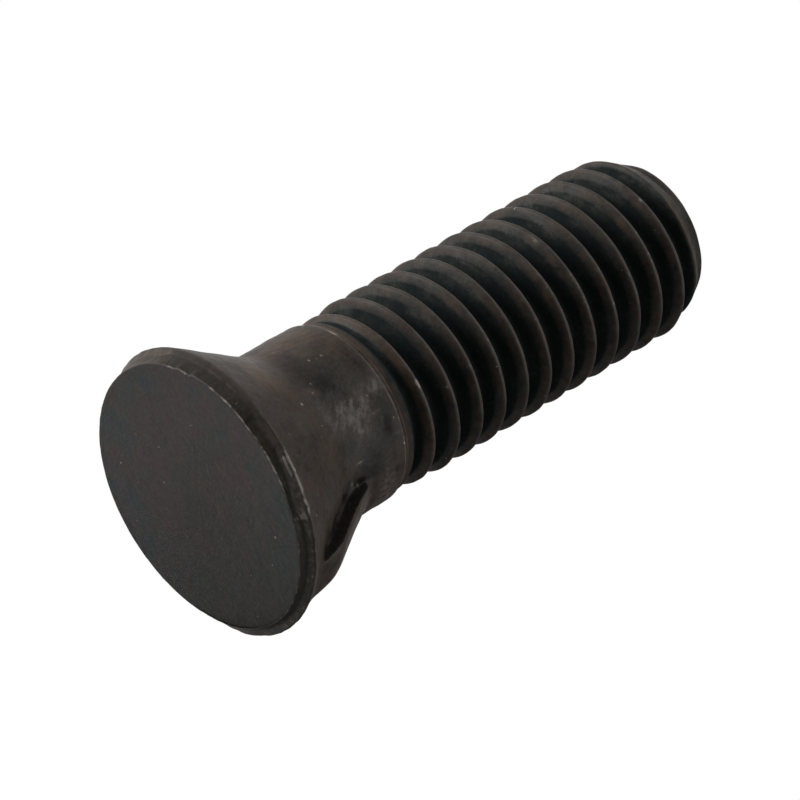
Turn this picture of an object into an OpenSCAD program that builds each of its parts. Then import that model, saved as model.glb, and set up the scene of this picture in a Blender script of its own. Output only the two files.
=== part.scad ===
// Round countersunk plough bolt with one nib under the head, in blackened steel.
// It stands on the flat of its head: the origin is on the axis in that flat, +Z runs
// along the shank to the threaded end and +X points at the nib. Millimetres.
// The bolt is upset and rolled from one bar, so it is one node.

/* [Head] */
// diameter of the head where it is widest
head_d = 17.0; // [15:0.1:17.6]
// how far inside that the flat of the head ends
edge_w = 0.4; // [0.3:0.05:1]
// height at which the slanting edge of the head is at its widest
edge_h = 0.65; // [0.4:0.05:0.8]
// width of the small bevel between the flat and the slanting edge
bevel_w = 0.2; // [0.05:0.01:0.25]
// height of that bevel
bevel_h = 0.15; // [0.05:0.01:0.25]
// how far the edge of the head sits off the axis, on the nib side
edge_shift = 0.2; // [0:0.05:0.3]
// included angle of the countersunk seat, degrees
seat_angle = 60; // [56:1:66]

/* [Shank] */
// diameter of the plain shank
shank_d = 10.92; // [10.7:0.02:11.1]
// diameter of the neck, where the seat runs into the shank
neck_d = 11.0; // [10.94:0.02:11.6]
// height from the flat of the head at which the seat would meet the neck in a corner
seat_h = 6.06; // [5.7:0.01:6.5]
// radius of the blend that rounds that corner
neck_blend = 2.0; // [0.4:0.1:3.5]
// height at which the neck has tapered down to the plain shank
neck_end = 8.2; // [7.6:0.1:9]
// height at which the plain shank ends in a shoulder
shank_end = 10.5; // [9.6:0.1:10.9]
// width of the bevel on that shoulder
shoulder_bevel = 0.08; // [0.02:0.01:0.12]

/* [Nib] */
// width of the nib across its parallel sides
nib_w = 3.1; // [1.6:0.1:5]
// how far the top of the nib stays inside the widest edge of the head
nib_inset = 0.1; // [0.05:0.05:0.8]
// how far that top falls towards the axis before its long slope begins
nib_fall = 0.35; // [0.1:0.05:0.8]
// height at which the long slope begins
nib_knee_h = 3.25; // [2.4:0.05:4]
// height at which the slope runs into the shank
nib_end = 7.8; // [6.6:0.1:8.6]

/* [Thread] */
// diameter over the crests of the thread
thread_d = 11.06; // [10.8:0.01:11.1]
// number of threads in one inch of length
threads_per_inch = 14; // [12:1:20]
// diameter of the rolled blank between the shoulder and the first turn
blank_d = 10.5; // [10.2:0.02:10.6]
// height at which the first groove starts
thread_start = 11.1; // [11:0.1:14]
// turns over which the groove reaches its full depth
groove_runout = 0.65; // [0.4:0.05:1]
// turns over which the crests grow to their full size
crest_runout = 1.5; // [0.8:0.1:2]
// height at which a crest passes the nib side; it sets where the thread is round the axis
crest_phase = 12.79; // [12:0.01:13.8]

/* [Threaded end] */
// length of the bolt from the flat of the head to the threaded end
length = 35.5; // [31:0.1:60]
// diameter of the flat on the threaded end
end_d = 8.7; // [8.2:0.05:9.2]
// height of the taper on the threaded end
taper_h = 2.1; // [1:0.1:3]

/* [Hidden] */
$fn = 96;
head_r = head_d / 2;
shank_r = shank_d / 2;
neck_r = neck_d / 2;
thread_r = thread_d / 2;
blank_r = blank_d / 2;
end_r = end_d / 2;
seat_slope = tan(seat_angle / 2);
// the seat is carried on to the flat of the head, and the edge of the head cuts it back
seat_foot_r = neck_r + seat_h * seat_slope;
// the blend touches the seat and the neck at this distance from their corner
blend = neck_blend * tan(seat_angle / 4);
blend_gap = neck_blend * (1 / cos(seat_angle / 4) - 1);
nib_r = head_r - nib_inset;
nib_knee_r = nib_r - nib_fall;
// the nib starts just inside the seat and runs on just inside the shank
nib_sink = 0.3;
nib_foot_h = seat_h - (nib_r - neck_r) / seat_slope - nib_sink;
nib_slope = (nib_end - nib_knee_h) / (nib_knee_r - shank_r);
// 60 degree thread form: a flat on each crest, two flanks and what is left at the root
pitch = 25.4 / threads_per_inch;
thread_depth = 0.6134 * pitch;
crest_w = pitch / 8;
flank_w = thread_depth * tan(30);
corners = [-crest_w / 2, crest_w / 2, crest_w / 2 + flank_w, pitch - crest_w / 2 - flank_w];
// angular steps in one turn of the thread
steps = 40;
// the threaded body starts well inside the shank, so that the two are one piece
body_start = thread_start - 2.2 * pitch;
// turns are counted from the crest that passes the nib side at crest_phase
first_turn = floor((body_start + crest_w - crest_phase) / pitch) + 1;
last_turn = ceil((length - crest_phase) / pitch) + 1;
rows = 4 * (last_turn - first_turn) + 1;

function share(v) = max(0, min(1, v));
function ease(v) = v * v * (3 - 2 * v);
function crest_r(h) = blank_r
  + (thread_r - blank_r) * share((h - thread_start) / (crest_runout * pitch));
function groove_depth(h) = thread_depth
  * ease(share((h - thread_start) / (groove_runout * pitch)));
// row i at step s: two rows bound each crest, and the next two bound the groove above it
function turn_h(i, s) = crest_phase + pitch * (first_turn + floor(i / 4) + s / steps);
function row_h(i, s) = turn_h(i, s) + corners[i % 4];
function groove_h(i, s) = turn_h(i, s) + pitch / 2;
function row_r(i, s) = i % 4 < 2
  ? crest_r(turn_h(i, s))
  : crest_r(groove_h(i, s)) - groove_depth(groove_h(i, s));
function on_turn(r, s, h) = [r * cos(360 * s / steps), r * sin(360 * s / steps), h];

module bolt() {
  color([0.16, 0.15, 0.14])
  union() {
    head_and_shank();
    nib();
    thread();
  }
}

module head_and_shank() {
  intersection() {
    rotate_extrude()
    polygon([
      [0, 0],
      [seat_foot_r, 0],
      [neck_r + blend * sin(seat_angle / 2), seat_h - blend * cos(seat_angle / 2)],
      [neck_r + blend_gap * cos(seat_angle / 4), seat_h + blend_gap * sin(seat_angle / 4)],
      [neck_r, seat_h + blend],
      [shank_r, neck_end],
      [shank_r, shank_end - shoulder_bevel],
      [shank_r - shoulder_bevel, shank_end],
      [0, shank_end]
    ]);
    translate([edge_shift, 0, 0])
    rotate_extrude()
    polygon([
      [0, 0],
      [head_r - edge_w, 0],
      [head_r - edge_w + bevel_w, bevel_h],
      [head_r, edge_h],
      [head_r, shank_end],
      [0, shank_end]
    ]);
  }
}

module nib() {
  rotate([90, 0, 0])
  linear_extrude(height = nib_w, center = true)
  polygon([
    [0, nib_foot_h],
    [nib_r, nib_foot_h],
    [nib_knee_r, nib_knee_h],
    [shank_r - nib_sink, nib_end + nib_sink * nib_slope],
    [0, nib_end + nib_sink * nib_slope]
  ]);
}

module thread() {
  intersection() {
    helix();
    rotate_extrude()
    polygon([
      [0, body_start - 1],
      [thread_r + 1, body_start - 1],
      [thread_r + 1, length - taper_h - taper_h / (thread_r - end_r)],
      [end_r, length],
      [0, length]
    ]);
  }
}

// one closed body: a ring below, the rows of the helix and a ring beyond the end
module helix() {
  low = [for (s = [0 : steps - 1]) on_turn(blank_r, s, body_start)];
  grid = [for (i = [0 : rows - 1]) for (s = [0 : steps - 1]) on_turn(row_r(i, s), s, row_h(i, s))];
  high = [for (s = [0 : steps - 1]) on_turn(thread_r, s, row_h(rows - 1, 2 * steps))];
  last = steps * rows;
  // between one row and the next, from the ring below to the ring beyond the end
  sides = [
    for (i = [0 : rows]) for (s = [0 : steps - 2]) for (upper = [false, true])
      let (a = steps * i + s, b = a + 1, c = a + steps, d = c + 1)
      upper ? [b, c, d] : [a, c, b]
  ];
  // the last column of each row joins the first column of the row one turn up
  seam = [
    for (i = [1 : rows - 5]) for (upper = [false, true])
      let (a = steps * (i + 1) - 1, b = steps * (i + 4), c = a + steps, d = b + steps)
      upper ? [b, c, d] : [a, c, b]
  ];
  seam_low = [
    [steps - 1, 2 * steps - 1, 0],
    for (i = [0 : 4]) [2 * steps - 1, steps * (i + 1), steps * i]
  ];
  seam_high = [
    for (i = [rows - 3 : rows + 1]) [steps * i - 1, steps * (i + 1) - 1, last],
    [last, last + 2 * steps - 1, last + steps]
  ];
  caps = [
    [for (s = [0 : steps - 1]) s],
    [for (s = [1 : steps]) last + 2 * steps - s]
  ];
  polyhedron(
    points = concat(low, grid, high),
    faces = concat(sides, seam, seam_low, seam_high, caps)
  );
}

bolt();
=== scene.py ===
# The looks of a plough bolt in blackened steel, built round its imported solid.
# The frame is the solid's: the bolt stands on the flat of its head with the origin on its
# axis, Z runs to the threaded end and the nib points along +X. The shapes are worked out in
# millimetres and stored in metres. Tables and constants give azimuths in degrees.
import math

import bmesh
import bpy
import numpy as np
from mathutils import Matrix, Vector


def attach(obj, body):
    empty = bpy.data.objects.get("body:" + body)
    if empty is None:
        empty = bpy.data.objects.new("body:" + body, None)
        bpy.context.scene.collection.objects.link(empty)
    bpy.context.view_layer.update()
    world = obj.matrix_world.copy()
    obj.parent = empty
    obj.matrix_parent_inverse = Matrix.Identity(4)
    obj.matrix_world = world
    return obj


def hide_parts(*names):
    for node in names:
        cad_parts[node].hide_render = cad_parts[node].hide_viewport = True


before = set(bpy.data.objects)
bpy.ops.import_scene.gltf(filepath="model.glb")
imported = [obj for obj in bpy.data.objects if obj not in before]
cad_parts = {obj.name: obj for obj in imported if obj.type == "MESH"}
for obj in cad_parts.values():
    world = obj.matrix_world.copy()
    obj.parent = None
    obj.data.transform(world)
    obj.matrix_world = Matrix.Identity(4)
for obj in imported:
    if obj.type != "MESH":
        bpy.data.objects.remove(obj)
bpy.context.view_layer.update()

MM = 0.001
TURN = 2 * math.pi
DEG = math.pi / 180

# sizes, millimetres
LENGTH = 35.5
SHANK_R = 5.46
NECK_R = 5.5
NECK_END = 8.2
SEAT_H = 6.06                      # the cone of the seat would meet the neck here
SEAT_SLOPE = math.tan(30 * DEG)
NECK_BLEND = 0.31                  # how far the cone and the neck melt together
SHOULDER_H = 10.5
SHANK_TOP = SHOULDER_H - 0.14      # last row of the plain shank, before the shoulder bends in
BLANK_R = 5.25
THREAD_R = 5.53
PITCH = 25.4 / 14
THREAD_DEPTH = 0.6134 * PITCH
CREST_HALF = 0.0625                # half of the flat on a crest, in pitches
FLANK_RUN = 0.354                  # how far a flank runs along the axis, in pitches
CREST_ROUND = 0.12                 # both roundings are shares of the depth
ROOT_ROUND = 0.22
CREST_PHASE = 12.79                # a crest passes the nib side at this height
THREAD_START = 11.1
GROOVE_RUNOUT = 0.65               # in turns
CREST_RUNOUT = 1.5
THREAD_LOW = 9.6                   # the mesh of the thread starts here, inside the shank
BUMP_ROOM = 0.01                   # the thread is this much thinner, so that its bumps fit in
END_R = 4.35
TAPER_H = 2.1
TAPER_ROUND = 0.12
END_CUT = LENGTH - 0.16            # the taper is cut off here and closed by a rounded edge

# the nib
NIB_HALF = 1.55
NIB_TIP_HALF = 1.42                # half its width where it runs into the shank
NIB_TOP = 8.4
NIB_KNEE_H = 3.25                  # the long slope begins at this height and radius
NIB_KNEE_R = 8.05
NIB_KNEE_ROUND = 0.5
NIB_LEAN = 0.75                    # share of the way to the knee that the upright part leans in
NIB_END = 7.8
NIB_ROUND = 0.26
NIB_FILLET = 0.22
FAR_OFF = 99                       # further than any point of the bolt
# the side of the bolt is looked for between these radii, in so many halvings
INSIDE_R = 4.0
OUTSIDE_R = 12.0
HALVINGS = 24

# the head: mean radius of its flat and of its slanting edge
FACE_R = 8.06
EDGE_R = 8.46
STEP_INSIDE = 0.05                 # how far inside the mean rim the step under it starts
ROUND_FOOT = 0.10
# how the hammered blank left both edges out of round: waves round the head, radial height
# and the azimuth of one crest
FACE_WAVES = ((1, 0.10, 75), (2, 0.09, 118), (3, 0.05, 20))
EDGE_WAVES = ((1, 0.23, 10), (2, 0.06, 40), (3, 0.03, -60))

# stretches of the head's edge with a look of their own: start, stop, softness of the ends
CHIPPED_AND_HIGHLIT = (-124, -40, 24)          # the rim of the flat is chipped, and painted bright there as a highlight
ROLLED = (-128, -76, 10)           # the flange is rolled over into the seat
FLARED = (-62, -34, 7)             # the flange is flared out
UNDER_NIB = (-33, 40, 6)           # there is hardly a step
RUBBED_EDGE = (-168, -124, 12)
RUSTY_EDGE = (-172, -124, 14)
SHARP_SHOULDER = (-88, 24, 30)     # the shoulder of the shank is worn bright here
# places on the edge: azimuth and half width; the glints are painted highlights on worn steel
NOTCH = (-34.5, 1.1)               # where the flange changes
BURR = (-55, 4)
RIM_GLINT = (-80, 3)
CORNER_GLINT = (-56, 4)
LAND_GLINT = (-67, 6)
BLUNT_RIM = (118, 60)

# rows of the head and shank: shares of the way from one point of the outline to the next,
# and from LEVEL_H on the heights of the rows
FACE_SHARES = (*np.linspace(0.03, 0.9, 22), *np.linspace(0.915, 0.97, 6))
BEND_SHARES = (0, 0.2, 0.4, 0.6, 0.8, 1)
WALL_SHARES = (0.2, 0.4, 0.6, 0.8)
SEAT_SHARES = np.linspace(0, 1, 13)[1:]
LEVEL_H = 1.9                      # every row from here on is level
PAST_NIB = NIB_END + 0.4
LEVEL_ROWS = (*np.linspace(LEVEL_H, PAST_NIB, 70)[1:], *np.linspace(PAST_NIB, SHANK_TOP, 16)[1:])
# the shoulder: how far each row lies above SHANK_TOP and inside the shank, and its wear
SHOULDER = (
    (0.04, 0.004, 0.3), (0.08, 0.015, 0.5), (0.13, 0.035, 0.55), (0.19, 0.07, 0.4), (0.26, 0.115, 0),
    (0.36, 0.165, 0), (0.46, 0.2, 0), (0.6, 0.24, 0), (0.7, 0.5, 0), (0.7, 1.2, 0),
)

# patches on the side of the bolt: azimuth, height, half width, half height, amount
SCUFFS = (
    (-59, 6.6, 0.5, 0.45, 1.2), (-58, 8.1, 0.55, 0.85, 2.6), (-49, 7.8, 0.6, 0.5, 1.2),
    (-66, 9.8, 0.5, 0.5, 1.0), (-60, 7.6, 1.4, 1.4, 0.45), (6, 9.5, 1.2, 0.7, 1.0),
    (-113, 4.6, 1.2, 0.4, 0.9), (-120, 3.6, 1.6, 1.3, 0.7), (-12, 9.2, 1.2, 0.7, 0.5),
    (82, 8.6, 1.4, 0.9, 0.8), (150, 4.4, 1.6, 1.2, 0.8), (196, 8.9, 1.2, 0.7, 0.6),
)
STAINS = (
    (-118, 4.4, 3.0, 2.4, 0.6), (-116, 9.0, 3.0, 1.6, 0.6), (-92, 4.4, 1.6, 1.6, 0.3),
    (-97, 3.6, 1.1, 0.8, 0.8), (-80, 6.4, 0.6, 0.4, 0.6), (-128, 7.2, 1.4, 1.2, 0.5),
    (-67, 3.5, 0.6, 0.4, 0.8), (-88, 9.9, 2.5, 0.6, 0.4), (60, 4.6, 1.2, 0.9, 0.7),
    (171, 8.6, 1.3, 1.0, 0.6), (118, 2.4, 1.2, 0.7, 0.6),
)
# painted shade: darker patches where the side of the bolt lies in shade
PAINTED_SHADES = (
    (-93, 6.5, 2.4, 0.9, 0.5), (-80, 7.9, 2.2, 1.1, 0.55), (-70, 9.7, 2.6, 0.6, 0.15),
    (-21, 8.0, 1.2, 1.0, 0.32), (-44, 2.9, 3.8, 2.4, 0.33), (-74, 7.4, 1.6, 1.0, 0.24),
    (-40, 9.8, 1.7, 0.9, 0.5), (-41, 6.9, 1.1, 0.9, 0.42), (-34, 8.2, 1.0, 0.8, 0.25),
    (-84, 9.9, 2.4, 0.8, 0.42), (-22, 8.4, 1.6, 1.6, 0.28), (-42, 9.1, 1.3, 1.0, 0.3),
    (-88, 10.0, 2.2, 0.8, 0.2), (-103, 9.0, 1.6, 0.8, 0.25), (-41, 6.2, 0.8, 0.8, 0.3),
    (110, 7.6, 2.6, 1.3, 0.4),
)
# the first is a painted highlight on the shoulder's edge
SCRATCHES_AND_GLINTS = (
    (-110, 10.55, 0.45, 0.13, 1.2), (-24, 10.86, 1.3, 0.05, 0.75), (-19.5, 6.35, 0.22, 0.10, 0.9),
    (-52, 8.9, 0.12, 0.5, 0.6), (-47, 9.3, 0.5, 0.06, 0.6), (128, 8.0, 0.6, 0.05, 0.8),
    (-75.3, 4.93, 0.08, 0.08, 2.0), (-64.5, 2.1, 0.07, 0.07, 1.5), (-79.5, 6.4, 0.06, 0.06, 1.3),
    (-120, 7.05, 0.07, 0.06, 1.3), (-56, 4.85, 0.06, 0.06, 1.2), (-62.5, 9.2, 0.07, 0.06, 1.8),
    (-57.5, 8.55, 0.06, 0.06, 1.2), (-98, 8.6, 0.08, 0.07, 1.1), (-17, 6.75, 0.14, 0.08, 0.8),
    (-30, 7.1, 0.07, 0.26, 0.8),
)
# bare places on the thread, put where it glints: painted highlights on worn steel, with the same columns
GLINTS = (
    (-54, 12.56, 0.22, 0.09, 0.9), (-43.5, 14.24, 0.12, 0.07, 0.8), (-81, 32.3, 0.14, 0.08, 0.9),
    (-94, 24.8, 0.4, 0.14, 0.75), (-86, 23.05, 0.25, 0.1, 0.6), (-98.8, 19.75, 0.5, 0.12, 0.45),
    (-35, 27.2, 0.1, 0.08, 0.8), (96, 18.2, 0.3, 0.1, 0.7), (160, 24.6, 0.3, 0.1, 0.7),
)
# stretches round the thread: start, stop, softness of the ends
PAINTED_SHADE_BY_NIB = (-38, 40, 20)        # crests are kept duller here as painted shade
DULL_AWAY = (-170, -70, 24)
# flanks and crests are lighter on these stretches: scuffs, with painted sheen
SCUFFS_AND_SHEEN_ON_FLANKS = (-150, -80, 50)
SCUFFS_AND_SHEEN_ON_CRESTS = (-130, -80, 30)
# the taper and the ring beside the shoulder are darker on these stretches as painted shade
PAINTED_SHADE_ON_TAPER = (-62, 60, 24)
PAINTED_SHADE_ON_RING = (-72, 20, 40)          # beside the shoulder

# the grid of the thread: columns round the axis, and the rows of one turn as shares of the
# pitch from the middle of a crest
THREAD_COLUMNS = 216
THREAD_STEPS = (
    -0.035, 0.0, 0.035, 0.065, 0.10, 0.16, 0.24, 0.32, 0.38,
    0.43, 0.5, 0.57, 0.62, 0.68, 0.76, 0.84, 0.90, 0.935,
)
# rings that close the two ends of the thread: how far each steps inwards and along the axis
LOW_RINGS = ((1.0, 0),)
END_RINGS = ((0.03, 0.07), (0.07, 0.055), (0.12, 0.03), (0.5, -0.02), (0.9, -0.12), (1.0, -0.16))


# shapes as arrays
def ease(t):
    """0 below 0, 1 above 1, and smooth between them."""
    t = np.clip(t, 0, 1)
    return t * t * (3 - 2 * t)


def mix(start, stop, share):
    return start + (stop - start) * share


def soft_max(a, b, width):
    """The larger of two surfaces, with the crease between them rounded over width."""
    h = np.clip(width - np.abs(a - b), 0, None) / width
    return np.maximum(a, b) + h * h * width / 4


def soft_min(a, b, width):
    return -soft_max(-a, -b, width)


def waves(azimuth, mean, rounds):
    """A radius that goes out of round by a few waves round the axis."""
    return mean + sum(h * np.cos(n * (azimuth - at * DEG)) for n, h, at in rounds)


def unevenness(points, length, seed, count=14):
    """A smooth random field of about unit height whose bumps are length mm apart."""
    rng = np.random.default_rng(seed)
    way = rng.normal(size=(count, 3))
    way *= (rng.uniform(0.6, 1.3, count) / np.linalg.norm(way, axis=1))[:, None]
    phase = rng.uniform(0, TURN, count)
    field = np.sin(points @ (way.T * TURN / length) + phase).sum(axis=-1)
    return field * math.sqrt(2 / count) / 1.5


def near(azimuth, at, wide):
    """1 at an azimuth in degrees, and fading out within wide degrees of it."""
    away = (azimuth / DEG - at + 180) % 360 - 180
    return np.exp(-((away / wide) ** 2))


def between(azimuth, start, stop, soft):
    """1 between two azimuths in degrees, with soft ends."""
    middle, half = (start + stop) / 2, (stop - start) / 2
    away = np.abs((azimuth / DEG - middle + 180) % 360 - 180)
    return ease((half + soft / 2 - away) / soft)


def nicks(azimuth, seed, count, deepest):
    """Short random notches along an edge of the head, in mm."""
    rng = np.random.default_rng(seed)
    at = rng.uniform(0, 360, count)
    wide = rng.uniform(0.6, 2.6, count)
    deep = rng.uniform(0.1, 1, count)
    return sum(d * deepest * near(azimuth, a, w) for a, w, d in zip(at, wide, deep))


def spot(points, azimuth, height, wide, tall):
    """A soft patch on the side of the bolt, 1 in its middle; wide and tall are in mm."""
    r = np.hypot(points[..., 0], points[..., 1])
    away = (np.arctan2(points[..., 1], points[..., 0]) - azimuth * DEG + math.pi) % TURN - math.pi
    return np.exp(-((away * r / wide) ** 2) - ((points[..., 2] - height) / tall) ** 2)


def spots(points, patches):
    return sum(amount * spot(points, *patch) for *patch, amount in patches)


def place(radius, azimuth, height):
    """Points of a surface from its radius, azimuth and height."""
    radius, azimuth, height = np.broadcast_arrays(radius, azimuth, height)
    return np.stack([radius * np.cos(azimuth), radius * np.sin(azimuth), height], -1)


def body_radius(height):
    """Seat, neck and plain shank of the bolt."""
    neck = SHANK_R + (NECK_R - SHANK_R) * (1 - ease(height / NECK_END))
    return soft_max(neck + (SEAT_H - height) * SEAT_SLOPE, neck, NECK_BLEND)


def nib_top(height):
    """Radius of the nib's crown: nearly upright under the head, then one long slope."""
    upright = NIB_TOP - (NIB_TOP - NIB_KNEE_R) * ease(height / NIB_KNEE_H) * NIB_LEAN
    slope = NIB_KNEE_R - (height - NIB_KNEE_H) * (NIB_KNEE_R - SHANK_R) / (NIB_END - NIB_KNEE_H)
    return soft_min(upright, slope, NIB_KNEE_ROUND)


def outside_nib(radius, azimuth, height):
    """How far a point lies outside the nib; its long edges are rounded."""
    half = mix(NIB_HALF, NIB_TIP_HALF, np.clip(height / NIB_END, 0, 1))
    side = np.abs(radius * np.sin(azimuth)) - half + NIB_ROUND
    side = np.where(np.cos(azimuth) > 0, side, FAR_OFF)
    crown = radius - nib_top(height) + NIB_ROUND
    corner = np.hypot(np.clip(side, 0, None), np.clip(crown, 0, None))
    return corner + np.minimum(np.maximum(side, crown), 0) - NIB_ROUND


def side_radius(azimuth, height):
    """Radius of seat, shank and nib together, found by halving along each ray."""
    azimuth, height = np.broadcast_arrays(azimuth, height)
    body = body_radius(height)
    low, high = np.full(body.shape, INSIDE_R), np.full(body.shape, OUTSIDE_R)
    for _ in range(HALVINGS):
        r = (low + high) / 2
        away = soft_min(r - body, outside_nib(r, azimuth, height), NIB_FILLET)
        low, high = np.where(away < 0, r, low), np.where(away < 0, high, r)
    return (low + high) / 2


def thread_depth_at(share):
    """0 at a crest, 1 at a root, with both corners rounded."""
    from_crest = np.abs((share + 0.5) % 1 - 0.5)
    rise = (from_crest - CREST_HALF) / FLANK_RUN
    return soft_max(soft_min(rise, 1 + 0 * rise, ROOT_ROUND), 0 * rise, CREST_ROUND)


def thread_radius(azimuth, height):
    """The rolled thread with its runout at the shoulder and the taper of the end."""
    turns = (height - THREAD_START) / PITCH
    crest = mix(BLANK_R, THREAD_R, np.clip(turns / CREST_RUNOUT, 0, 1))
    depth = THREAD_DEPTH * ease(turns / GROOVE_RUNOUT)
    share = (height - CREST_PHASE) / PITCH - azimuth / TURN
    radius = crest - depth * thread_depth_at(share)
    taper = THREAD_R - (height - LENGTH + TAPER_H) * (THREAD_R - END_R) / TAPER_H
    return soft_min(radius, taper, TAPER_ROUND)


# meshes
def make_piece(name, points, faces, marks):
    """A smooth mesh from points in mm; marks are named values at its points."""
    mesh = bpy.data.meshes.new(name)
    mesh.from_pydata((points * MM).tolist(), [], faces)
    for mark, values in marks.items():
        layer = mesh.attributes.new(mark, "FLOAT", "POINT")
        layer.data.foreach_set("value", np.asarray(values, np.float32))
    mesh.shade_smooth()
    mesh.update()
    piece = bpy.data.objects.new(name, mesh)
    bpy.context.scene.collection.objects.link(piece)
    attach(piece, "root")
    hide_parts("bolt")
    return piece


def rings_to_faces(rows, columns):
    """Quads between closed rings, with one point below and one above as caps."""
    a = np.arange(rows * columns).reshape(rows, columns)
    b = np.roll(a, -1, axis=1)
    quads = np.stack([a[:-1], b[:-1], b[1:], a[1:]], -1).reshape(-1, 4).tolist()
    low, high = rows * columns, rows * columns + 1
    fans = [[low, j, i] for i, j in zip(a[0], b[0])]
    fans += [[high, i, j] for i, j in zip(a[-1], b[-1])]
    return quads + [[int(v) for v in fan] for fan in fans]


# head and shank: each row of the mesh holds radius, height, wear, flat, deep and scuff, and
# the last four are marks for the material
def head_azimuths():
    """Columns round the axis: closest at the nib, close where the rim is chipped."""
    nib = np.linspace(-24, 24, 121)[:-1]
    plain = np.linspace(24, 228, 171)[:-1]
    chipped_and_highlit = np.linspace(228, 336, 241)[:-1]
    return np.concatenate([nib, plain, chipped_and_highlit]) * DEG


def face_radius(az):
    """Rim of the flat of the head, with its chips."""
    chips = nicks(az, 11, 70, 0.07) + 0.6 * nicks(az, 12, 200, 0.06)
    return waves(az, FACE_R, FACE_WAVES) - (0.25 + 0.75 * between(az, *CHIPPED_AND_HIGHLIT)) * chips


def edge_outline(az, face_r):
    """Five corners of the head's outline, each as radius and height: a point on the flat, its
    rim, the foot of the step under the rim, the slanting edge, and the end of the seat."""
    rolled, flared = between(az, *ROLLED), between(az, *FLARED)
    signed = az / DEG - 360 * (az > math.pi)
    wider = flared * ease((signed - FLARED[0]) / 22)
    inner_r = waves(az, FACE_R, FACE_WAVES) - STEP_INSIDE
    edge_r = waves(az, EDGE_R, EDGE_WAVES) - (0.12 + 0.5 * flared) * nicks(az, 13, 220, 0.05)
    edge_h = SEAT_H - (edge_r - NECK_R) / SEAT_SLOPE
    foot_r = inner_r + (0.20 + 0.25 * rolled - 0.08 * wider) * (edge_r - inner_r)
    foot_h = (0.50 + 0.14 * rolled - 0.34 * wider) * edge_h
    seat_end = (SHANK_R, SEAT_H - (SHANK_R - NECK_R) / SEAT_SLOPE)
    return (face_r * FACE_SHARES[-1], 0), (face_r, 0), (foot_r, foot_h), (edge_r, edge_h), seat_end


def toward(here, other, far):
    """The point far mm along the way from one point of the outline to another."""
    way = (other[0] - here[0], other[1] - here[1])
    length = np.hypot(*way)
    return here[0] + way[0] / length * far, here[1] + way[1] / length * far


def wall(start, stop, t):
    """A point of the straight outline between two bends."""
    return mix(start[0], stop[0], t), mix(start[1], stop[1], t)


def bend(start, corner, stop, t):
    """A point of the curve that rounds a corner of the outline."""
    return tuple((1 - t) ** 2 * a + 2 * t * (1 - t) * b + t * t * c
                 for a, b, c in zip(start, corner, stop))


def hump(t):
    """0 at both ends of a bend and 1 in its middle."""
    return 1 - (2 * t - 1) ** 2


def edge_rows(az, face_r):
    """From the rim of the flat over the step and the slanting edge to the seat."""
    chipped_and_highlit, rolled = between(az, *CHIPPED_AND_HIGHLIT), between(az, *ROLLED)
    flared, under = between(az, *FLARED), between(az, *UNDER_NIB)

    # painted shade on the step under the rim
    painted_step_shade = 0.60 - 0.30 * under
    land_dirt = 0.45 * rolled + 0.10 * under
    rubbed_and_sheen = 0.8 * flared + 0.45 * under + 0.6 * between(az, *RUBBED_EDGE)
    patches = 0.25 + 0.75 * nicks(az, 14, 60, 1.0).clip(0, 1)
    gaps = nicks(az, 15, 90, 1.0).clip(0, 1)
    burr = flared * (0.1 + 0.5 * gaps) + 0.9 * near(az, *BURR) + 0.25 * under * gaps
    bite = 0.8 * near(az, *NOTCH)
    # the rim's wear is brighter on the highlit stretch and at the glints: painted highlights on worn steel
    rim_wear_and_highlights = 0.37 + 0.65 * chipped_and_highlit * patches + 0.5 * near(az, *RIM_GLINT)
    rim_wear_and_highlights = rim_wear_and_highlights + 0.4 * near(az, *CORNER_GLINT) + 0.5 * under * gaps
    land_wear_and_glint = bite + 0.4 * flared + 0.5 * under + 0.3 * near(az, *LAND_GLINT)
    edge_wear = 0.32 + burr - 0.3 * rolled

    round_rim = 0.06 + 0.05 * chipped_and_highlit + 0.13 * near(az, *BLUNT_RIM)
    round_edge = 0.07 + 0.22 * rolled + 0.07 * flared
    on_flat, rim, foot, edge, seat_end = edge_outline(az, face_r)
    rim_start, rim_stop = toward(rim, on_flat, round_rim), toward(rim, foot, round_rim)
    foot_start, foot_stop = toward(foot, rim, ROUND_FOOT), toward(foot, edge, ROUND_FOOT)
    edge_start, edge_stop = toward(edge, foot, round_edge), toward(edge, seat_end, round_edge)

    rows = []
    for t in BEND_SHARES:
        dirt_and_shade = mix(0.2 * painted_step_shade, painted_step_shade, t)
        rows.append((*bend(rim_start, rim, rim_stop, t), rim_wear_and_highlights * hump(t), 1 - t, dirt_and_shade, 0))
    for t in WALL_SHARES:
        rows.append((*wall(rim_stop, foot_start, t), bite, 0, painted_step_shade, 0))
    for t in BEND_SHARES:
        dirt_and_shade = mix(painted_step_shade, 0.5 * (painted_step_shade + land_dirt), t)
        rows.append((*bend(foot_start, foot, foot_stop, t), bite * hump(t), 0, dirt_and_shade, 0))
    for t in WALL_SHARES:
        wear = land_wear_and_glint + 0.5 * burr * (t > 0.5)
        rows.append((*wall(foot_stop, edge_start, t), wear, 0, land_dirt, rubbed_and_sheen))
    for t in BEND_SHARES:
        wear = edge_wear * hump(t) + 0.4 * flared * (1 - t)
        dirt_and_shade = mix(land_dirt, 0.3 * land_dirt, t)
        rows.append((*bend(edge_start, edge, edge_stop, t), wear, 0, dirt_and_shade, 0.7 * rubbed_and_sheen))
    return rows


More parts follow.
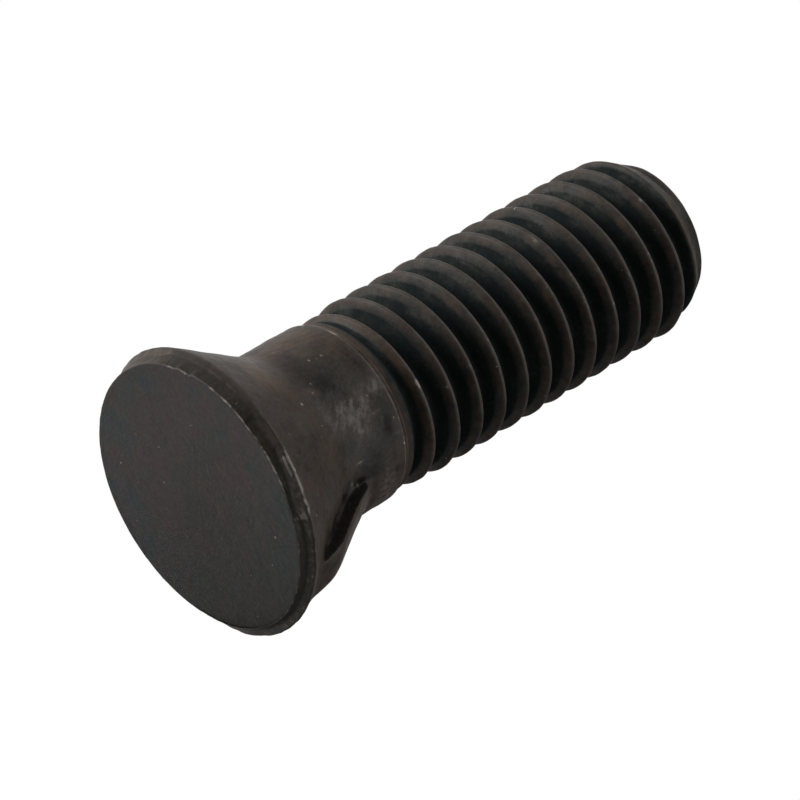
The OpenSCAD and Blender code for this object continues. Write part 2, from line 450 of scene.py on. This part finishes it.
def side_rows(az, edge_row):
    """From the last row of the edge up the seat, past the nib and along the plain shank."""
    _, low, _, _, dirt_and_shade, _ = edge_row
    rows = []
    for t in SEAT_SHARES:
        height = mix(low, LEVEL_H, t)
        rows.append((side_radius(az, height), height, 0, 0, dirt_and_shade * (1 - t) ** 2, 0))
    for height in LEVEL_ROWS:
        rows.append((side_radius(az, height), height, 0, 0, 0, 0))
    return rows


def shoulder_rows(az, shank_r):
    """The soft shoulder that ends the plain shank."""
    lip = 0.25 + 0.75 * between(az, *SHARP_SHOULDER)
    return [(shank_r - inwards, SHANK_TOP + along, worn * lip, 0, 0.5 * (along > 0.2), 0)
            for along, inwards, worn in SHOULDER]


def oxide_and_shade_by_nib(points, radius, az, height):
    """Black oxide on the nib's sheared sides, and painted shade in the corner beside the nib."""
    body, crown = body_radius(height), nib_top(height)
    outside = outside_nib(radius, az, height)
    across = np.abs(points[..., 1])
    up_nib = (radius - body) / np.maximum(crown - body, 0.05)
    side = (0.75 + 0.25 * ease(up_nib / 0.4)) * ease(up_nib / 0.12) * ease((0.94 - up_nib) / 0.1)
    side = side * ease((across - 1.15) / 0.2) * ease((7.5 - height) / 0.3)
    # painted shade in the corner where the nib meets the seat
    crevice = np.exp(-(outside.clip(0) / 0.85) ** 2) * ease((crown - body) / 0.5)
    crevice = crevice * (up_nib < 0.5) * (across > 1.15)
    patchy = 0.85 + 0.2 * unevenness(points, 0.8, 33)
    dirt_and_shade = np.where(points[..., 0] > 0, np.maximum(side, 0.9 * crevice * patchy), 0)
    return dirt_and_shade * ease((height - 1.1) / 0.9)


def forge(points, radius, height, face_r):
    """Gives the points the uneven skin of a forging, in hundredths of a millimetre."""
    out = points / np.maximum(np.hypot(points[..., 0], points[..., 1]), 1)[..., None] * (1, 1, 0)
    # slow waves and shallow dents, none on the shoulder or the hidden end
    skin = 0.020 * unevenness(points, 4.5, 3) + 0.010 * unevenness(points, 1.6, 4)
    skin = skin + 0.005 * unevenness(points, 0.6, 6)
    skin = skin * (ease((SHOULDER_H + 0.1 - height) / 0.8) * ease((height - 0.02) / 0.3))
    # finer and rougher round the edge of the head
    rough = 0.006 * unevenness(points, 0.8, 9) + 0.004 * unevenness(points, 0.35, 10, 24)
    rough = rough * ease((height - 0.15) / 0.2) * ease((1.1 - height) / 0.4)
    points = points + out * (skin + rough)[..., None]
    # the flat of the head is a little wavy, never below the plane it stands on
    dip = 0.010 + 0.010 * unevenness(points, 5.0, 5) + 0.004 * unevenness(points, 1.2, 7)
    points[..., 2] += (height < 1e-6) * dip.clip(0) * ease((face_r - radius) / 0.5)
    return points


def head_marks(points, az, radius, height, wear, flat, deep, scuff_and_sheen):
    """What the years and the tools left on the surface, with painted shade, sheen and highlights, as marks
    for the material.
    """
    x, y = points[..., 0], points[..., 1]
    on_face = ease((flat - 0.5) / 0.4)
    on_rim = (1 - on_face) * ease((0.9 - height) / 0.15)
    on_side = ease((height - 1.0) / 0.6)
    # the flat of the head: warm and dull in its middle, with painted shade darkening it towards one side and
    # painted light paling it towards another
    warm_middle = np.exp(-((x + 0.6) ** 2 + (y + 1.2) ** 2) / 4.6 ** 2)
    dull_middle = np.exp(-((x - 0.4) ** 2 + (y - 0.6) ** 2) / 3.6 ** 2)
    painted_shade_across_face = (x * 0.69 + y * 0.72) / FACE_R
    painted_light_across_face = ((y * 0.19 - x * 0.67) / FACE_R).clip(0, 1)

    cold = on_face * ease((radius / FACE_R - 0.45) / 0.3) * (0.8 + 0.5 * painted_shade_across_face).clip(0, 1)
    cold = cold + 0.35 * on_face * unevenness(points, 2.8, 41)
    stands_out = (between(az, *FLARED) + between(az, *UNDER_NIB)).clip(0, 1)
    cold = cold + on_rim * (0.9 * stands_out + 0.3)
    cold = cold + 0.7 * on_side * ease(unevenness(points, 2.4, 37) - 0.2)
    # the flat is darkened, with painted shade towards one side and painted light towards another
    deep = deep + on_face * (0.34 + 0.42 * painted_shade_across_face + 0.12 * dull_middle - 0.14 * painted_light_across_face)
    rust = 0.8 * np.exp(-((height - SHOULDER_H - 0.35) / 0.25) ** 2)
    rust = rust + 0.6 * (1 - on_face) * ease((1.2 - height) / 0.2) * between(az, *RUSTY_EDGE)
    return {
        # the scratches carry a painted highlight on the shoulder
        "wear": wear + on_side * spots(points, SCRATCHES_AND_GLINTS),
        "flat": flat * (1 - 0.5 * on_face * warm_middle),
        "cold": cold,
        "scuff_and_sheen": scuff_and_sheen + on_side * spots(points, SCUFFS),
        "rust": rust + on_side * spots(points, STAINS),
        # the side is darkened by the painted shade patches
        "deep": deep + on_side * spots(points, PAINTED_SHADES),
    }


def head_piece():
    """Head, nib and plain shank, in closed rings from the flat of the head to the shoulder."""
    az = head_azimuths()
    face_r = face_radius(az)
    rows = [(face_r * share, 0, 0, 1, 0, 0) for share in FACE_SHARES]
    rows += edge_rows(az, face_r)
    rows += side_rows(az, rows[-1])
    rows += shoulder_rows(az, rows[-1][0])
    radius, height, wear, flat, deep, scuff_and_sheen = (
        np.array([np.broadcast_to(row[i], az.shape) for row in rows], float) for i in range(6))

    points = place(radius, az, height)
    deep = np.maximum(deep, oxide_and_shade_by_nib(points, radius, az, height))
    points = forge(points, radius, height, face_r)
    marks = head_marks(points, az, radius, height, wear, flat, deep, scuff_and_sheen)
    # one more point on the axis closes each end, with a mark of the ring next to it
    tips = [[0, 0, points[0, 0, 2]], [0, 0, points[-1, 0, 2]]]
    points = np.concatenate([points.reshape(-1, 3), tips])
    marks = {name: np.concatenate([mark.ravel(), mark[0, :1], mark[-1, :1]]).clip(0, 1)
             for name, mark in marks.items()}
    return make_piece("head_and_shank", points, rings_to_faces(len(rows), len(az)), marks)


# the thread: its rows follow the helix, so each one ends a pitch above where it starts
def thread_grid():
    """Points of the thread and the quads between them, open at both ends."""
    first = math.floor((THREAD_LOW - CREST_PHASE) / PITCH) - 2
    last = math.ceil((LENGTH - CREST_PHASE) / PITCH) + 1
    share = np.array([n + s for n in range(first, last) for s in THREAD_STEPS])
    az = np.arange(THREAD_COLUMNS) * TURN / THREAD_COLUMNS
    height = CREST_PHASE + PITCH * (share[:, None] + az / TURN)
    radius = thread_radius(az, height)
    points = place(radius, az, height)
    bumps = 0.012 * unevenness(points, 3.0, 21) + 0.006 * unevenness(points, 0.9, 22)
    radius = radius + bumps * ease((height - SHOULDER_H - 0.2) / 1.5) - BUMP_ROOM
    points = place(radius, az, height)

    rows, turn = len(share), len(THREAD_STEPS)
    a = np.arange(rows * THREAD_COLUMNS).reshape(rows, THREAD_COLUMNS)
    quads = np.stack([a[:-1, :-1], a[:-1, 1:], a[1:, 1:], a[1:, :-1]], -1).reshape(-1, 4)
    # the last column of a row joins the first column of the row one turn up
    n = rows - turn - 1
    seam = np.stack([a[:n, -1], a[turn:turn + n, 0], a[turn + 1:turn + 1 + n, 0], a[1:n + 1, -1]], -1)
    return points.reshape(-1, 3), np.concatenate([quads, seam]).tolist()


def close_end(mesh, at, steps):
    """Closes an open end with rings that step inwards and along, then a middle point."""
    ring = sorted((v for v in mesh.verts if abs(v.co.z - at) < 1e-4 and v.is_boundary),
                  key=lambda v: math.atan2(v.co.y, v.co.x))
    count = len(ring)
    for inwards, along in steps:
        inner = []
        for v in ring:
            r = math.hypot(v.co.x, v.co.y)
            k = (r - inwards) / r
            inner.append(mesh.verts.new((v.co.x * k, v.co.y * k, v.co.z + along)))
        for i in range(count):
            j = (i + 1) % count
            mesh.faces.new([ring[i], ring[j], inner[j], inner[i]])
        ring = inner
    middle = mesh.verts.new((0, 0, ring[0].co.z))
    for i in range(count):
        mesh.faces.new([ring[i], ring[(i + 1) % count], middle])


def thread_mesh():
    """The thread cut off at both ends and closed: its points in mm and its faces."""
    points, quads = thread_grid()
    mesh = bmesh.new()
    made = [mesh.verts.new(p) for p in points]
    for quad in quads:
        mesh.faces.new([made[i] for i in quad])
    for at, normal in ((THREAD_LOW, -1), (END_CUT, 1)):
        bmesh.ops.bisect_plane(mesh, geom=mesh.verts[:] + mesh.edges[:] + mesh.faces[:], dist=1e-5,
                               plane_co=(0, 0, at), plane_no=(0, 0, normal), clear_outer=True)
    bmesh.ops.remove_doubles(mesh, verts=mesh.verts[:], dist=0.004)
    close_end(mesh, THREAD_LOW, LOW_RINGS)
    close_end(mesh, END_CUT, END_RINGS)
    # the cuts leave a few gaps of one thin triangle, a few thousandths of a millimetre high
    bmesh.ops.holes_fill(mesh, edges=[e for e in mesh.edges if e.is_boundary], sides=3)
    bmesh.ops.recalc_face_normals(mesh, faces=mesh.faces[:])
    mesh.verts.index_update()
    points = np.array([v.co for v in mesh.verts])
    faces = [[v.index for v in f.verts] for f in mesh.faces]
    mesh.free()
    return points, faces


def thread_marks(points):
    """Painted shade and dirt in the grooves, rubbed flanks and crests with painted sheen, and worn or rusty
    crests, as marks for the material.
    """
    radius = np.hypot(points[:, 0], points[:, 1])
    az = np.arctan2(points[:, 1], points[:, 0])
    height = points[:, 2]
    share = (height - CREST_PHASE) / PITCH - az / TURN
    # both in pitches from the middle of the nearest crest, the first negative headwards
    past_crest = (share + 0.5) % 1 - 0.5
    from_crest = np.abs(past_crest)
    cut = ease((height - THREAD_START) / (0.5 * PITCH))
    near_end = ease((height - LENGTH + 1.7) / 0.9)

    # crests are kept duller by the nib, as painted shade
    dull = 0.5 * between(az, *PAINTED_SHADE_BY_NIB) + 0.4 * between(az, *DULL_AWAY)
    wear = ease((0.12 - from_crest) / 0.06) * 0.45 * cut * (1 - dull) * (1 - near_end)
    mossy = ease((0.2 - from_crest) / 0.08) * (0.35 + 0.8 * unevenness(points, 1.1, 36))
    # rubbed on the flanks that face the head, and here and there on the crests; both are lighter mostly on
    # the lit side, as painted sheen
    rubbed_and_sheen = ease(0.6 + 0.5 * unevenness(points, 2.6, 31)) * (0.2 + 0.8 * between(az, *SCUFFS_AND_SHEEN_ON_FLANKS))
    rubbed_and_sheen = rubbed_and_sheen * ease((from_crest - 0.08) / 0.06) * ease((0.38 - from_crest) / 0.14)
    rubbed_and_sheen = rubbed_and_sheen * (past_crest < 0) * (1 - near_end)
    crest_rub_and_sheen = 0.9 * ease((0.13 - from_crest) / 0.05) * ease(unevenness(points, 1.3, 38) - 0.2)
    crest_rub_and_sheen = crest_rub_and_sheen * between(az, *SCUFFS_AND_SHEEN_ON_CRESTS)

    beside = np.exp(-((past_crest + 0.14) / 0.07) ** 2) * (0.7 + 0.5 * unevenness(points, 1.4, 35))
    rust = (0.22 + 0.42 * ease((13.4 - height) / 1.4)) * ease((0.24 - from_crest) / 0.12)
    rust = rust + 0.65 * beside + 0.95 * ease((11.5 - height) / 0.5) + 0.6 * near_end

    # darker towards the roots of the grooves: painted shade, with dirt
    groove = ease((thread_depth_at(share) - 0.04) / 0.44) * cut * (1 - near_end)
    # the taper and the ring by the shoulder are darker, and darker still on one side as painted shade
    taper = near_end * ease((radius - 4.1) / 0.3) * (0.62 + 0.28 * between(az, *PAINTED_SHADE_ON_TAPER))
    by_shoulder = (1 - cut) * (0.76 + 0.24 * between(az, *PAINTED_SHADE_ON_RING))
    return {
        # the glints are painted highlights on bare steel
        "wear": wear + spots(points, GLINTS),
        "flat": 0 * height,
        "cold": (mossy + 0.3 * near_end).clip(0, 1),
        "scuff_and_sheen": (rubbed_and_sheen + crest_rub_and_sheen) * cut,
        "rust": rust.clip(0, 1),
        "deep": groove + taper + by_shoulder,
    }


def thread_piece():
    points, faces = thread_mesh()
    return make_piece("thread", points, faces, thread_marks(points))


# materials
class Wire:
    """One output in a material's nodes. Arithmetic on it adds the Math node that does it."""

    def __init__(self, paint, socket):
        self.paint, self.socket = paint, socket

    def __add__(self, other):
        return self.paint.math("ADD", self, other)

    def __sub__(self, other):
        return self.paint.math("SUBTRACT", self, other)

    def __rsub__(self, other):
        return self.paint.math("SUBTRACT", other, self)

    def __mul__(self, other):
        return self.paint.math("MULTIPLY", self, other)

    __radd__, __rmul__ = __add__, __mul__


class Paint:
    """A material's node tree."""

    def __init__(self, tree):
        self.tree = tree
        tree.nodes.clear()

    def node(self, kind, settings=None, inputs=None, out=0):
        made = self.tree.nodes.new(kind)
        for name, value in (settings or {}).items():
            setattr(made, name, value)
        for key, value in (inputs or {}).items():
            if isinstance(value, Wire):
                self.tree.links.new(value.socket, made.inputs[key])
            else:
                made.inputs[key].default_value = value
        return Wire(self, made.outputs[out]) if made.outputs else made

    def math(self, operation, a, b):
        return self.node("ShaderNodeMath", {"operation": operation}, {0: a, 1: b})

    def mark(self, name):
        return self.node("ShaderNodeAttribute", {"attribute_name": name}, out="Fac")

    def noise(self, where, scale, detail, rough, out=0):
        """Noise over the object, with scale in bumps per millimetre."""
        return self.node("ShaderNodeTexNoise", None,
                         {"Vector": where, "Scale": scale / MM, "Detail": detail, "Roughness": rough}, out)

    def coloured_noise(self, where, scale, detail, rough, channels):
        """As many noises from one texture as channels are named."""
        colour = self.noise(where, scale, detail, rough, "Color")
        return [self.node("ShaderNodeSeparateColor", None, {"Color": colour}, name) for name in channels]

    def step(self, value, low, high):
        """0 below low, 1 above high, and smooth between them."""
        return self.node("ShaderNodeMapRange", {"interpolation_type": "SMOOTHSTEP"},
                         {"Value": value, "From Min": low, "From Max": high})

    def blend(self, amount, colour, other):
        """The Mix node's colour sockets are its inputs 6 and 7 and its output 2."""
        return self.node("ShaderNodeMix", {"data_type": "RGBA"}, {0: amount, 6: colour, 7: other}, 2)

    def layers(self, base, table):
        """Colours laid over base, each where its value climbs from low to high."""
        for value, low, high, amount, colour in table:
            base = self.blend(self.step(value, low, high) * amount, base, colour)
        return base

    def surface(self, shader):
        self.node("ShaderNodeOutputMaterial", None, {"Surface": shader})


def new_material(name):
    made = bpy.data.materials.new(name)
    made.use_nodes = True
    return made, Paint(made.node_tree)


def rgb(r, g, b):
    return (r, g, b, 1)


# the skin of the body and of the flat of the head
BODY_DARK = rgb(0.0245, 0.0210, 0.0172)
BODY_BROWN = rgb(0.0455, 0.0315, 0.0235)
BODY_GREEN = rgb(0.038, 0.043, 0.034)
BODY_WARM = rgb(0.047, 0.032, 0.024)
BODY_PLUM = rgb(0.047, 0.034, 0.034)
FLAT_PURPLE = rgb(0.044, 0.035, 0.037)
FLAT_BLUE = rgb(0.025, 0.034, 0.039)
FLAT_MAUVE = rgb(0.045, 0.033, 0.037)
FLAT_BROWN = rgb(0.042, 0.035, 0.029)
FLAT_GREEN = rgb(0.027, 0.037, 0.036)
FLAT_ROSE = rgb(0.049, 0.034, 0.036)
# what lies over the skin
RUST = rgb(0.082, 0.051, 0.033)
GRAIN = rgb(0.062, 0.053, 0.045)
WORN = rgb(0.074, 0.063, 0.053)
BARE = rgb(0.215, 0.195, 0.172)
SPECK = rgb(0.36, 0.34, 0.30)


def blackened_steel(name, tint, dirt_and_shade, sheen_and_scuff_colour, rubbed_way, rubbed_size, rare, seed):
    """Oil-blackened forged steel: near black, mottled brown and grey, bright on worn edges; its marks also
    lay painted shade, sheen and highlights.
    """
    made, p = new_material(name)
    shift = p.node("ShaderNodeVectorMath", {"operation": "ADD"},
                   {0: p.node("ShaderNodeTexCoord", out="Object"), 1: (seed * MM, 0, 0)})
    broad, green, mauve = p.coloured_noise(shift, 0.4, 4, 0.6, ("Red", "Green", "Blue"))
    hue, plum = p.coloured_noise(shift, 1.7, 4, 0.65, ("Green", "Blue"))
    blotch = p.noise(shift, 0.8, 4, 0.62)
    fine = p.noise(shift, 2.4, 4, 0.6)
    grain = p.noise(shift, 5.0, 3, 0.6)
    # the noises that shift another value, counted from their mean
    broad_swing, green_swing, hue_swing = broad - 0.5, green - 0.5, hue - 0.5
    blotch_swing, fine_swing, grain_swing = blotch - 0.5, fine - 0.5, grain - 0.5
    wear, flat, cold, scuff_and_sheen, rust, deep = (
        p.mark(m) for m in ("wear", "flat", "cold", "scuff_and_sheen", "rust", "deep"))

    # the skin: brown on the body, and purple to bluish grey on the flat of the head;
    # each layer gives a value, the two limits between which it sets in, an amount and a colour
    body = p.layers(p.blend(p.step(blotch, 0.35, 0.65), BODY_DARK, BODY_BROWN), (
        (hue, 0.42, 0.58, 0.8, tint),
        (cold + green_swing * 1.6, 0.25, 1.0, 0.75, BODY_GREEN),
        (mauve, 0.48, 0.60, 0.5, BODY_WARM),
        (plum, 0.48, 0.62, 0.6, BODY_PLUM),
    ))
    cool = p.layers(p.blend(p.step(cold + broad_swing * 2.0, 0.2, 0.9), FLAT_PURPLE, FLAT_BLUE), (
        (blotch, 0.45, 0.62, 0.6, FLAT_MAUVE),
        (hue, 0.42, 0.62, 0.6, FLAT_BROWN),
        (green, 0.47, 0.58, 0.6, FLAT_GREEN),
        (mauve, 0.47, 0.58, 0.6, FLAT_ROSE),
    ))
    base = p.blend(flat, body, cool)
    # dirt and painted shade darken the colour where the deep mark rises
    base = p.blend(p.step(deep + fine_swing * 0.35, 0.0, 1.0), base, dirt_and_shade)
    # rust and grain, both fainter under dirt and painted shade
    base = p.layers(base, (
        (rust + fine_swing * 1.4 + hue_swing * 1.4, 0.30, 1.2, 0.8 - 0.42 * deep, RUST),
        (grain, 0.46, 0.72, 0.42 - 0.32 * deep, GRAIN),
    ))
    # scuffs with streaks of their own, which on the thread also carry painted sheen, then worn edges, bare
    # steel with painted glints, and a few bright specks
    streaks = p.noise(p.node("ShaderNodeMapping", {"vector_type": "TEXTURE"}, {
        "Vector": shift, "Rotation": rubbed_way, "Scale": rubbed_size}), 1.0, 4, 0.65)
    rubbed_and_sheen = p.step(streaks + fine_swing * 0.35 + grain_swing * 0.25, 0.38, 0.72)
    base = p.blend(p.math("MINIMUM", scuff_and_sheen * (0.1 + 0.78 * rubbed_and_sheen), 0.82), base, sheen_and_scuff_colour)
    base = p.layers(base, ((wear + fine_swing * 0.6 + blotch_swing * 0.8, 0.0, 0.6, 0.6, WORN),))
    bare = p.step(wear + blotch_swing * 0.8 + fine_swing * 1.0 + grain_swing * 0.6, 0.52, 1.0)
    base = p.blend(bare, base, BARE)
    speck = p.step(p.noise(shift, 3.4, 0, 0.5), rare, rare + 0.01) * (1 - deep)
    base = p.blend(speck * 0.8, base, SPECK)

    rough = 0.50 + fine_swing * 0.25 + flat * 0.04 + bare * 0.1
    bump = p.node("ShaderNodeBump", None, {
        "Strength": 0.5, "Distance": 0.07 * MM, "Height": fine * 0.55 + grain * 0.35 + blotch * 0.6})
    clean = p.node("ShaderNodeBsdfPrincipled", None, {
        "Base Color": base, "Metallic": bare * 0.3, "Roughness": rough, "Normal": bump,
        "IOR": 1.5, "Specular IOR Level": 0.12})
    # where dirt and painted shade are deepest the steel has no sheen
    dusty = p.node("ShaderNodeBsdfPrincipled", None, {
        "Base Color": base, "Roughness": rough, "Normal": bump, "Specular IOR Level": 0.0})
    p.surface(p.node("ShaderNodeMixShader", None, {0: p.step(deep, 0.66, 0.94), 1: clean, 2: dusty}))
    return made


# studio
CAMERA_AT = (0.112129, -0.208622, -0.146478)
LOOKS_AT = (0.0041128, -0.0054731, 0.0100197)
CAMERA_ROLL = -59.631
LENS = 231.1
SENSOR = 36
# lamps and cards are placed as seen from the camera: right, up and towards it
BOX_SIZE = 0.35
BOXES_FROM = (0, 0, 0.015)         # the lamps' places count from here, and they face the origin
SOFT_BOXES = (                     # name, place in metres, watts
    ("left_box", (-0.50, 0.31, 0.12), 3.4),
    ("end_box", (0.42, 0.40, 0.02), 1.3),
    ("right_box", (0.56, -0.10, 0.12), 1.6),
)
BLACK_CARDS = (                    # name, direction, half angle in degrees, whether it is solid
    ("front_card", (0.1, -0.1, 0.5), 65, True),
    ("low_card", (0.28, -0.45, -0.2), 75, False),
    ("end_card", (0.7, 0.30, -0.1), 60, False),
)
CARD_AWAY = 0.7                    # metres from the origin
CARD_RINGS = 10
CARD_SIDES = 36
ROOM_LIGHT = 0.35                  # strength of the soft light, where 1 is white
FLOOR_HALF = 1.0                   # metres
FLOOR_Z = -0.00002                 # just under the head
FLOOR_FADE = (0.02, 0.16)          # metres from the axis between which the floor fades away


def camera_basis():
    """The camera's right, its up and the way back from what it looks at."""
    back = (Vector(CAMERA_AT) - Vector(LOOKS_AT)).normalized()
    level = Vector((0, 0, 1)).cross(back).normalized()
    upright = back.cross(level)
    turn = CAMERA_ROLL * DEG
    up = upright * math.cos(turn) + level * math.sin(turn)
    return up.cross(back), up, back


def place_camera(right, up, back):
    lens = bpy.data.cameras.new("camera")
    lens.lens = LENS
    lens.sensor_width = SENSOR
    lens.clip_start = 0.01
    lens.clip_end = 100
    camera = bpy.data.objects.new("camera", lens)
    turn = Matrix((right, up, back)).transposed().to_4x4()
    camera.matrix_world = Matrix.Translation(CAMERA_AT) @ turn
    bpy.context.scene.collection.objects.link(camera)
    bpy.context.scene.camera = camera


def soft_box(name, at, watts):
    lamp = bpy.data.lights.new(name, "AREA")
    lamp.shape = "DISK"
    lamp.size = BOX_SIZE
    lamp.energy = watts
    holder = bpy.data.objects.new(name, lamp)
    holder.location = at
    holder.rotation_mode = "QUATERNION"
    holder.rotation_quaternion = at.to_track_quat("Z", "Y")
    bpy.context.scene.collection.objects.link(holder)


def card(name, way, spread, solid):
    """A black card curved round the bolt, that fades out towards its rim. Only reflections
    see it, unless it is solid: then it also holds back the soft light of the room."""
    turn = way.to_track_quat("Z", "Y").to_matrix()
    points, fade = [way * CARD_AWAY], [1.0]
    for i in range(1, CARD_RINGS + 1):
        lean = spread * i / CARD_RINGS
        for j in range(CARD_SIDES):
            a = TURN * j / CARD_SIDES
            out = Vector((math.sin(lean) * math.cos(a), math.sin(lean) * math.sin(a), math.cos(lean)))
            points.append(turn @ out * CARD_AWAY)
            fade.append(1 - i / CARD_RINGS)
    faces = [(0, 1 + j, 1 + (j + 1) % CARD_SIDES) for j in range(CARD_SIDES)]
    for i in range(CARD_RINGS - 1):
        for j in range(CARD_SIDES):
            k = (j + 1) % CARD_SIDES
            a, b = 1 + i * CARD_SIDES, 1 + (i + 1) * CARD_SIDES
            faces.append((a + j, b + j, b + k, a + k))
    mesh = bpy.data.meshes.new(name)
    mesh.from_pydata(points, [], faces)
    layer = mesh.attributes.new("fade", "FLOAT", "POINT")
    layer.data.foreach_set("value", np.array(fade, np.float32))
    made, p = new_material(name)
    black = p.node("ShaderNodeBsdfDiffuse", None, {"Color": rgb(0, 0, 0)})
    clear = p.node("ShaderNodeBsdfTransparent")
    p.surface(p.node("ShaderNodeMixShader", None, {0: p.step(p.mark("fade"), 0.0, 0.5), 1: clear, 2: black}))
    mesh.materials.append(made)
    piece = bpy.data.objects.new(name, mesh)
    bpy.context.scene.collection.objects.link(piece)
    piece.visible_camera = False
    piece.visible_diffuse = solid
    piece.visible_shadow = solid


def room():
    """White all round for the camera and in reflections, a plain soft light for the rest."""
    world = bpy.data.worlds.new("white_room")
    world.use_nodes = True
    bpy.context.scene.world = world
    p = Paint(world.node_tree)
    paths = ("Is Camera Ray", "Is Glossy Ray", "Is Transmission Ray")
    seen, shiny, through = (p.node("ShaderNodeLightPath", out=path) for path in paths)
    strength = ROOM_LIGHT + (1 - ROOM_LIGHT) * p.math("MINIMUM", seen + shiny + through, 1.0)
    light = p.node("ShaderNodeBackground", None, {"Color": rgb(1, 1, 1), "Strength": strength})
    p.node("ShaderNodeOutputWorld", None, {"Surface": light})


def floor():
    """A pale floor under the head, which melts into the white room further out.
    It is seen from above only, and it never blocks a lamp."""
    mesh = bpy.data.meshes.new("floor")
    corners = [(x * FLOOR_HALF, y * FLOOR_HALF, FLOOR_Z) for x, y in ((-1, -1), (1, -1), (1, 1), (-1, 1))]
    mesh.from_pydata(corners, [], [(0, 1, 2, 3)])
    piece = bpy.data.objects.new("floor", mesh)
    bpy.context.scene.collection.objects.link(piece)
    made, p = new_material("pale_floor")
    under = p.node("ShaderNodeNewGeometry", out="Backfacing")
    seen = p.node("ShaderNodeLightPath", out="Is Camera Ray")
    reach = p.node("ShaderNodeVectorMath", {"operation": "LENGTH"},
                   {0: p.node("ShaderNodeTexCoord", out="Object")}, "Value")
    pale = p.node("ShaderNodeBsdfDiffuse", None, {"Color": rgb(0.8, 0.8, 0.8)})
    clear = p.node("ShaderNodeBsdfTransparent")
    there = seen * (1 - under) * (1 - p.step(reach, *FLOOR_FADE))
    p.surface(p.node("ShaderNodeMixShader", None, {0: there, 1: clear, 2: pale}))
    mesh.materials.append(made)


def studio():
    bpy.context.scene.view_settings.view_transform = "Standard"
    right, up, back = camera_basis()

    def seen_at(x, y, z):
        return right * x + up * y + back * z

    place_camera(right, up, back)
    for name, seat, watts in SOFT_BOXES:
        soft_box(name, seen_at(*seat) + Vector(BOXES_FROM), watts)
    for name, way, spread, solid in BLACK_CARDS:
        card(name, seen_at(*way).normalized(), spread * DEG, solid)
    room()
    floor()


studio()
forged_skin = blackened_steel(
    "forged_skin", tint=rgb(0.040, 0.035, 0.026), dirt_and_shade=rgb(0.0085, 0.0075, 0.0065),
    sheen_and_scuff_colour=rgb(0.135, 0.122, 0.113), rubbed_way=(0, 0.6, 0.54), rubbed_size=(1.5, 0.4, 0.4),
    rare=0.857, seed=0)
# the thread's dark is the teal of its painted shade, and its scuff colour the blue grey of its painted sheen
rolled_thread = blackened_steel(
    "rolled_thread", tint=rgb(0.031, 0.034, 0.031), dirt_and_shade=rgb(0.0155, 0.0202, 0.0202),
    sheen_and_scuff_colour=rgb(0.082, 0.080, 0.073), rubbed_way=(0, 0, 0), rubbed_size=(1.2, 1.2, 0.35),
    rare=0.885, seed=40)
head_piece().data.materials.append(forged_skin)
thread_piece().data.materials.append(rolled_thread)
